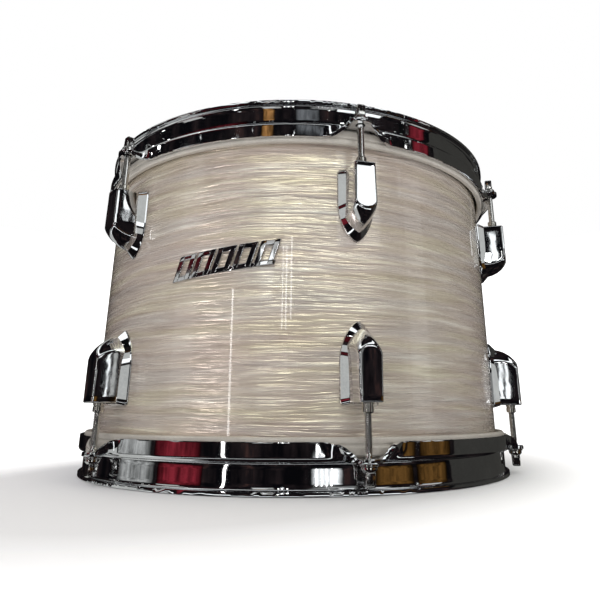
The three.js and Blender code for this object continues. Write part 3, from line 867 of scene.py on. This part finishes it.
# %% One section of the lug's body, from 0 to 1 round its outline
def box_reach(c, s, foot, top):
    """How far a rounded box with leaning sides reaches from its foot's middle, in the direction (c, s)."""
    lean = (foot - top) / BODY_DEEP
    reach = min(foot / (c + lean * s), BODY_DEEP / max(s, 1e-6))
    inner_x, inner_y = top - BODY_CORNER, BODY_DEEP - BODY_CORNER
    if reach * c > inner_x and reach * s > inner_y:
        along = c * inner_x + s * inner_y
        reach = min(reach, along + math.sqrt(max(along ** 2 - inner_x ** 2 - inner_y ** 2 + BODY_CORNER ** 2, 0)))
    return reach


def body_outline(q, height):
    side = 1 if q < 0.5 else -1
    t = q * 2 if q < 0.5 else (1 - q) * 2              # 0 at the middle of the front, 1 under the middle
    taper = 0.5 * max(height - LUG_SHOULDER, 0) / (LUG_MOUTH - LUG_SHOULDER)
    wide, deep, power = bullet_size(height)
    corner = math.atan2(BODY_DEEP, BODY_HALF)
    if t < 0.9:
        k = t / 0.9                                    # columns gather at the box's corner
        if k < 0.4:
            angle = math.pi / 2 - (math.pi / 2 - corner) * k / 0.4
        else:
            angle = corner * (1 - (k - 0.4) / 0.6)
        c, s = math.cos(angle), math.sin(angle)
        box = box_reach(c, s, BODY_FOOT - taper, BODY_HALF - taper)
        bullet = ((c / max(wide, 0.01)) ** power + (s / max(deep, 0.01)) ** power) ** (-1 / power)
        reach = max(0.5 * (box + bullet - math.sqrt((box - bullet) ** 2 + 0.15 ** 2)), 0.01)
        x, lift = reach * c, reach * s
    else:
        x, lift = min(BODY_FOOT - taper, wide) * (1 - (t - 0.9) / 0.1), -1.2
    return side * x, math.sqrt(SEAT ** 2 - min(x, 20) ** 2) + lift


# %% The body's rows: up the nose, up the box, over the lip, across the mouth and down the bore
LIP = 0.9
NOSE_ROWS = 34
BODY_HEIGHTS = ([LUG_TIP + (LUG_SHOULDER - LUG_TIP) * (i / NOSE_ROWS) ** 1.7 for i in range(NOSE_ROWS + 1)]
                + [LUG_SHOULDER + i for i in (1.5, 3, 5, 8, 12, 16, 20)] + [LUG_MOUTH - LIP])
EDGE_STEPS = 4
BORE_ROWS = [0.15, 0.5, 0.85, 1.0]
BORE_DEPTHS = (2.4, 9.0)
BODY_CENTRE = 176.5                 # the point that the lip rounds towards
BODY_ROWS = len(BODY_HEIGHTS) - 1 + EDGE_STEPS + len(BORE_ROWS) + len(BORE_DEPTHS)
print("body rows", BODY_ROWS)


def body_point(u, v):
    row = round(v * BODY_ROWS)
    if row < len(BODY_HEIGHTS):
        height = BODY_HEIGHTS[row]
        x, out = body_outline(u, height)
        return x, -out, height
    x, out = body_outline(u, LUG_MOUTH - LIP)
    away = math.hypot(x, out - BODY_CENTRE) or 1
    step = row - len(BODY_HEIGHTS) + 1
    if step <= EDGE_STEPS:
        angle = math.pi / 2 * step / EDGE_STEPS
        pull = LIP * (1 - math.cos(angle))
        height = LUG_MOUTH - LIP + LIP * math.sin(angle)
        return x * (1 - pull / away), -(BODY_CENTRE + (out - BODY_CENTRE) * (1 - pull / away)), height
    x1, out1 = x * (1 - LIP / away), BODY_CENTRE + (out - BODY_CENTRE) * (1 - LIP / away)
    turn = math.atan2(x1, out1 - ROD_CIRCLE)
    bore_x, bore_out = BORE * math.sin(turn), ROD_CIRCLE + BORE * math.cos(turn)
    step -= EDGE_STEPS
    if step <= len(BORE_ROWS):
        k = BORE_ROWS[step - 1]
        return x1 + (bore_x - x1) * k, -(out1 + (bore_out - out1) * k), LUG_MOUTH
    return bore_x, -bore_out, LUG_MOUTH - BORE_DEPTHS[step - len(BORE_ROWS) - 1]


# %% [markdown]
# The leaf is laid in rings from its middle out: over the hidden flat under the body, down the slope, round the
# thin edge, and back underneath where it sits on the shell.

# %% The leaf's outline
def flange_edge(u):
    """A point on the leaf's outline at share u, which starts at the tip."""
    t = u * 2 if u < 0.5 else (1 - u) * 2
    side = 1 if u < 0.5 else -1
    if t < 0.55:
        k = t / 0.55
        height = FLANGE_TIP + (FLANGE_SHOULDER - FLANGE_TIP) * k ** 1.35
        s = (height - FLANGE_TIP) / (FLANGE_SHOULDER - FLANGE_TIP)
        half = FLANGE_HALF * (1 - (1 - s) ** 2.1) ** 0.72
    elif t < 0.80:
        height = FLANGE_SHOULDER + (FLANGE_MOUTH - FLANGE_CORNER - FLANGE_SHOULDER) * (t - 0.55) / 0.25
        half = FLANGE_HALF
    elif t < 0.90:
        angle = math.pi / 2 * (t - 0.80) / 0.10
        height = FLANGE_MOUTH - FLANGE_CORNER * (1 - math.sin(angle))
        half = FLANGE_HALF - FLANGE_CORNER * (1 - math.cos(angle))
    else:
        height = FLANGE_MOUTH
        half = (FLANGE_HALF - FLANGE_CORNER) * (1 - (t - 0.90) / 0.10)
    return side * half, height


# %% The leaf's rings: how far out, and how high above its seat
FLAT_RINGS = [(0.0, 4.6), (0.5, 4.4), (0.80, 4.4), (0.92, 4.2), (0.985, 3.9)]
SLOPE_RINGS = [(1 + k, LEAF_RISE * (1 - k) - 0.6 * k) for k in (0.05, 0.35, 0.65, 0.88, 0.93)]
FLANGE_RINGS = FLAT_RINGS + SLOPE_RINGS + [(1.965, -0.95), (2.0, -1.2), (2.0, -1.5), (0.5, -1.5), (0.0, -1.5)]
FOOT_SHARE = 0.64                   # the body's foot as a share of the leaf's half width


def flange_point(u, v):
    """The leaf slopes up from its edge to the foot of the body: share 0 to 1 is the flat top, 1 to 2 the slope."""
    share, lift = FLANGE_RINGS[round(v * (len(FLANGE_RINGS) - 1))]
    edge_x, edge_height = flange_edge(u)
    foot_x = edge_x * FOOT_SHARE
    shrink = (LUG_MOUTH - LUG_TIP) / (FLANGE_MOUTH - FLANGE_TIP)
    foot_height = LUG_TIP + 0.4 + (edge_height - FLANGE_TIP) * shrink
    slope = max(share - 1, 0)
    middle = min(share, 1)
    x = middle * foot_x + slope * (edge_x - foot_x)
    height = FLANGE_MIDDLE + middle * (foot_height - FLANGE_MIDDLE) + slope * (edge_height - foot_height)
    return x, -(math.sqrt(SEAT ** 2 - x * x) + lift), height


# %% Cast the lug
lug_body = laid("lug_body", COLUMNS, BODY_ROWS, body_point, close=True)
lug_flange = laid("lug_flange", COLUMNS, len(FLANGE_RINGS) - 1, flange_point)
only(lug_body, lug_flange)
bpy.ops.object.join()
lug_model = bpy.context.object
smooth(lug_model, 28)
print("lug", len(lug_model.data.polygons), "faces")

# %% [markdown]
# ## Nuts, rods and washers
# A swivel nut is a threaded tube that stands out of the lug's mouth, with a groove near its top. A tension rod is
# a long screw with a square head for a drum key, a collar under the head, and a washer that spreads its push on
# the ear. All are round, so they are turned on the lathe from their outlines.

# %% Swivel nut
nut_outline = [(3.0, 62.2), (3.2, 62.0), (3.6, 62.0), (3.6, 67.8), (4.4, 67.8), (4.6, 68.0), (4.6, 70.2), (4.4, 70.4),
               (3.62, 70.6), (3.62, 76.0), (3.25, 76.3), (3.25, 76.8), (3.62, 77.1), (3.62, 79.9), (3.25, 80.5),
               (3.0, 80.3)]
nut_model = turned("nut_model", nut_outline, 40, out=ROD_CIRCLE)
smooth(nut_model, 30)
print("nut", len(nut_model.data.polygons), "faces")

# %% [markdown]
# A thread is rolled on the rod. A triangle wound up the rod by the Screw modifier gives the same ridge. The square
# head is a cube that narrows a little at its top, with its edges rounded so that the key slips on.

# %% Tension rods: one with its thread hidden in the nut, one threaded nearly to its head
PITCH = 1.0583
THREAD_CREST, THREAD_ROOT, SHANK = 2.6, 1.95, 2.35
ROD_TIP, HEAD_TOP = above_middle("batter_tension_rod_2")
COLLAR_UNDER, COLLAR_TOP = 109.0, 111.9
KEY_HALF, KEY_TAPER = 3.1, 0.9


def threaded(name, low, high):
    """One triangle of thread, wound up the rod by the Screw modifier and closed at both ends."""
    nothing()
    bpy.ops.mesh.primitive_circle_add(vertices=3, radius=MM, fill_type="NOTHING")
    ridge = bpy.context.object
    ridge.name = name
    corner_points = [(THREAD_ROOT - 0.15, low + 0.05), (THREAD_CREST, low + PITCH / 2),
                     (THREAD_ROOT - 0.15, low + PITCH - 0.05)]
    for vertex, (radius, height) in zip(ridge.data.vertices, corner_points):
        vertex.co = (radius * MM, 0, height * MM)
    modify(ridge, "SCREW", steps=16, render_steps=16, iterations=int((high - low) / PITCH) - 1,
           screw_offset=PITCH * MM, use_smooth_shade=False)
    weld(ridge, close=True)
    return ridge


def rod(name, thread_top):
    outline = [(0, ROD_TIP), (1.6, ROD_TIP), (THREAD_ROOT, ROD_TIP + 0.8), (THREAD_ROOT, thread_top),
               (SHANK, thread_top + 0.6), (SHANK, COLLAR_UNDER - 0.5), (SHANK + 0.35, COLLAR_UNDER),
               (4.5, COLLAR_UNDER), (4.8, COLLAR_UNDER + 0.3), (4.8, COLLAR_UNDER + 1.3), (4.5, COLLAR_UNDER + 1.7),
               (3.9, COLLAR_TOP - 0.6), (3.3, COLLAR_TOP), (0, COLLAR_TOP)]
    pin = turned(name, outline, 32, open_ends=True)
    ridge = threaded(name + "_thread", ROD_TIP + 0.8, thread_top)
    nothing()
    bpy.ops.mesh.primitive_cube_add(size=1)
    head = bpy.context.object
    tall = HEAD_TOP - COLLAR_TOP + 0.4
    size = Matrix.Diagonal((2 * KEY_HALF * MM, 2 * KEY_HALF * MM, tall * MM, 1))
    head.data.transform(moved(0, 0, (COLLAR_TOP + HEAD_TOP - 0.4) / 2) @ size)
    for vertex in head.data.vertices:
        if vertex.co.z > (COLLAR_TOP + 4) * MM:
            vertex.co.x *= KEY_TAPER
            vertex.co.y *= KEY_TAPER
    modify(head, "BEVEL", width=0.7 * MM, segments=3, limit_method="ANGLE", angle_limit=math.radians(30))
    only(pin, ridge, head)
    bpy.ops.object.join()
    pin = bpy.context.object
    pin.data.transform(moved(0, -ROD_CIRCLE, 0))
    smooth(pin, 32)
    return pin


ROD_MODELS = {"batter": rod("short_thread", 79.0), "resonant": rod("long_thread", 102.5)}
washer_outline = [(3.1, 107.7), (3.3, 107.5), (5.35, 107.5), (5.6, 107.75), (5.6, 108.45), (5.3, 108.7), (3.4, 108.7),
                  (3.1, 108.5)]
washer_model = turned("washer_model", washer_outline, 40, out=ROD_CIRCLE)
smooth(washer_model, 30)
print("rods", [len(model.data.polygons) for model in ROD_MODELS.values()], "faces")

# %% [markdown]
# Each lug is held by two screws from inside the shell. Only somebody who looks through a head sees them: a washer
# and a domed head with a cross cut into it by two bars.

# %% Lug screws inside the shell
SCREW_HEIGHTS = (37.0, 66.0)
screw_outline = [(0, 3.4), (2.2, 3.3), (3.5, 2.7), (4.0, 1.7), (4.0, 1.2), (5.6, 1.2), (5.8, 1.0), (5.8, 0.2),
                 (5.6, 0.0), (0, 0.0)]
SLOT_SIZE = Matrix.Diagonal((4.2 * MM, 0.9 * MM, 2.4 * MM, 1))
screws = []
for height in SCREW_HEIGHTS:
    screw = turned(f"screw_{height:.0f}", screw_outline, 32, open_ends=True)
    nothing()
    for slot_turn in (0, math.pi / 2):
        bpy.ops.mesh.primitive_cube_add(size=1)
        bit = bpy.context.object
        bit.data.transform(Matrix.Rotation(slot_turn, 4, "Z") @ moved(0, 0, 3.4) @ SLOT_SIZE)
        modify(screw, "BOOLEAN", object=bit, operation="DIFFERENCE", solver="EXACT")
        discard(bit)
    screw.data.transform(moved(0, -(SHELL_INNER - 0.35), height) @ Matrix.Rotation(-math.pi / 2, 4, "X"))
    smooth(screw, 32)
    screws.append(screw)
only(*screws)
bpy.ops.object.join()
screw_model = bpy.context.object
print("screws", len(screw_model.data.polygons), "faces")

# %% [markdown]
# Everything was drawn once, at the top and at the front. Now each model is copied to its twelve stations, with a
# mesh of its own. The lugs, nuts and screws stay with the shell, the washers go with the hoop, and each rod
# has a body of its own, because it turns.

# %% Fit all twelve stations
for side, end in ENDS.items():
    for k, azimuth in STATIONS.items():
        for model, name, body, finish, slot_name, *stands_for in [
                (lug_model, f"{side}_lug_{k}_cast", "shell_assembly", lug_chrome, "lug_chrome", f"{side}_lug_{k}"),
                (nut_model, f"{side}_nut_{k}", "shell_assembly", nut_nickel, "nut_nickel", f"{side}_swivel_nut_{k}"),
                (ROD_MODELS[side], f"{side}_rod_{k}_threaded", f"{side}_rod_{k}", rod_chrome, "rod_chrome",
                 f"{side}_tension_rod_{k}"),
                (washer_model, f"{side}_washer_{k}", f"{side}_hoop", washer_steel, "washer_steel",
                 f"{side}_rod_washer_{k}"),
                (screw_model, f"{side}_lug_screws_{k}", "shell_assembly", washer_steel, "washer_steel")]:
            fitted(carried(model, name, azimuth, end), body, finish, slot_name, *stands_for)
for model in (lug_model, nut_model, washer_model, screw_model, *ROD_MODELS.values()):
    discard(model)
print("twelve stations fitted")

# %% [markdown]
# ## Badge
# The badge is a slanted metal plate that rises a little to the right, laid round the wrap. It carries a plain
# pattern: five open, slanted links on one rail. Each bar is a flat strip, extruded and rounded, and then bent.

# %% Badge
BADGE_LONG, BADGE_TALL, BADGE_SLANT, BADGE_RISE, BADGE_HEIGHT = 80.0, 17.0, 7.5, 6.4, 14.0
BADGE_LIFT, RAIL_CREST, LINK_CREST = 0.3, 1.2, 1.6
LINKS, BAR_WIDE, BAR_TALL, LINK_GAP = 5, 4.0, 3.4, 1.6


def badge_place(across, height, lift):
    """A point of the flat badge, leant, raised and laid round the wrap."""
    across += BADGE_SLANT * height / BADGE_TALL
    rise = math.radians(BADGE_RISE)
    x = across * math.cos(rise) - height * math.sin(rise)
    z = across * math.sin(rise) + height * math.cos(rise) + BADGE_HEIGHT
    angle = x / WRAP_OUTER
    radius = WRAP_OUTER + BADGE_LIFT + lift
    return radius * math.sin(angle), -radius * math.cos(angle), z


def block(name, low, high, bottom, top, crest):
    """A raised bar of the badge, with its upper edges rounded."""
    bar = laid(name, 12, 4, lambda u, v: (low + (high - low) * u, bottom + (top - bottom) * v, 0))
    edit(bar, "FACE")
    bpy.ops.mesh.select_all(action="SELECT")
    bpy.ops.mesh.extrude_region_move(TRANSFORM_OT_translate={"value": (0, 0, crest * MM)})
    leave()
    weld(bar)
    modify(bar, "BEVEL", width=0.35 * MM, segments=3, limit_method="ANGLE", angle_limit=math.radians(50))
    for vertex in bar.data.vertices:
        vertex.co = Vector(badge_place(*(vertex.co / MM))) * MM
    weld(bar)
    return bar


# %% Links and rail
half_long, half_tall = (BADGE_LONG - BADGE_SLANT) / 2 - 0.2, BADGE_TALL / 2 - 0.2
link_pitch = 2 * half_long / LINKS
bars = [block("badge_rail", -half_long, half_long, -half_tall, -half_tall + 3.0, RAIL_CREST)]
for i in range(LINKS):
    low = -half_long + i * link_pitch + 0.5
    high = low + link_pitch - LINK_GAP
    sides = [(low, low + BAR_WIDE, -half_tall, half_tall), (high - BAR_WIDE, high, -half_tall, half_tall),
             (low, high, half_tall - BAR_TALL, half_tall), (low, high, -half_tall, -half_tall + BAR_TALL)]
    for part, sizes in enumerate(sides):
        bars.append(block(f"badge_link_{i}_{part}", *sizes, LINK_CREST - 0.02 * part))
only(*bars)
bpy.ops.object.join()
badge = bpy.context.object
badge.data.transform(moved(0, 0, MIDDLE))
badge.name = "badge_barred"
smooth(badge, 32)
fitted(badge, "shell_assembly", badge_chrome, "badge_chrome", "badge_plate")
print("badge", len(badge.data.polygons), "faces")

# %% [markdown]
# ## Air vent
# The vent is lined with an eyelet, a short tube with a rolled rim that is pressed through the shell from outside
# and spread over a washer inside. The working model's washer has the right shape, so it only gets its steel.

# %% Air vent
eyelet_outline = [(4.0, 8.9), (5.0, 8.9), (5.0, 0.35), (8.1, 0.35), (8.5, 0.6), (8.3, 1.1), (6.6, 1.9), (5.2, 2.1),
                  (4.4, 1.8), (4.0, 1.2)]
eyelet_profile = [(radius, WRAP_OUTER - h if h > 3 else WRAP_OUTER + h) for radius, h in eyelet_outline]
eyelet = turned("eyelet_pressed", eyelet_profile, 64)
eyelet.data.transform(station_matrix(180) @ Matrix.Rotation(math.pi / 2, 4, "X"))
smooth(eyelet, 35)
fitted(eyelet, "shell_assembly", eyelet_chrome, "eyelet_chrome", "vent_eyelet")
vent_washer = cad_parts["vent_washer"]
vent_washer.data.materials.clear()
vent_washer.data.materials.append(washer_steel)
print("eyelet", len(eyelet.data.polygons), "faces")

# %% [markdown]
# ## Light on the pearl
# One soft lamp stands high, a little to the right of the camera, and shines on the wrap alone. Its mirror
# image falls outside the coat's view, but the tilted flakes catch it, so the streaks flash across the front.
# A small, weak one shines up from the left, and keeps the lower left side from going dull.

# %% Key lamp and low lamp
LAMPS_AIM = Vector((0, 0, 0.12))
wrap_only = bpy.data.collections.new("wrap_only")
wrap_only.objects.link(wrap)


def lamp(name, place, shape, size, energy, colour):
    made = bpy.data.objects.new(name, bpy.data.lights.new(name, "AREA"))
    bpy.context.scene.collection.objects.link(made)
    made.location = place
    made.rotation_euler = (LAMPS_AIM - made.location).to_track_quat("-Z", "Y").to_euler()
    made.data.shape, made.data.size, made.data.energy = shape, size, energy
    made.data.color = colour
    made.light_linking.receiver_collection = wrap_only
    return made


key_azimuth, key_elevation, key_distance = math.radians(24), math.radians(44), 1.6
key_place = (key_distance * math.sin(key_azimuth) * math.cos(key_elevation),
             -key_distance * math.cos(key_azimuth) * math.cos(key_elevation),
             key_distance * math.sin(key_elevation) + 0.12)
key = lamp("key_lamp", key_place, "RECTANGLE", 1.6, 11.5, (0.95, 1.0, 0.80))
key.data.size_y = 0.3
key.visible_diffuse = False
low_lamp = lamp("low_lamp", (-0.70, -1.25, -0.40), "DISK", 0.35, 3.2, (1.0, 0.93, 0.90))
low_lamp.data.use_shadow = False
print("key lamp at", tuple(key.location))
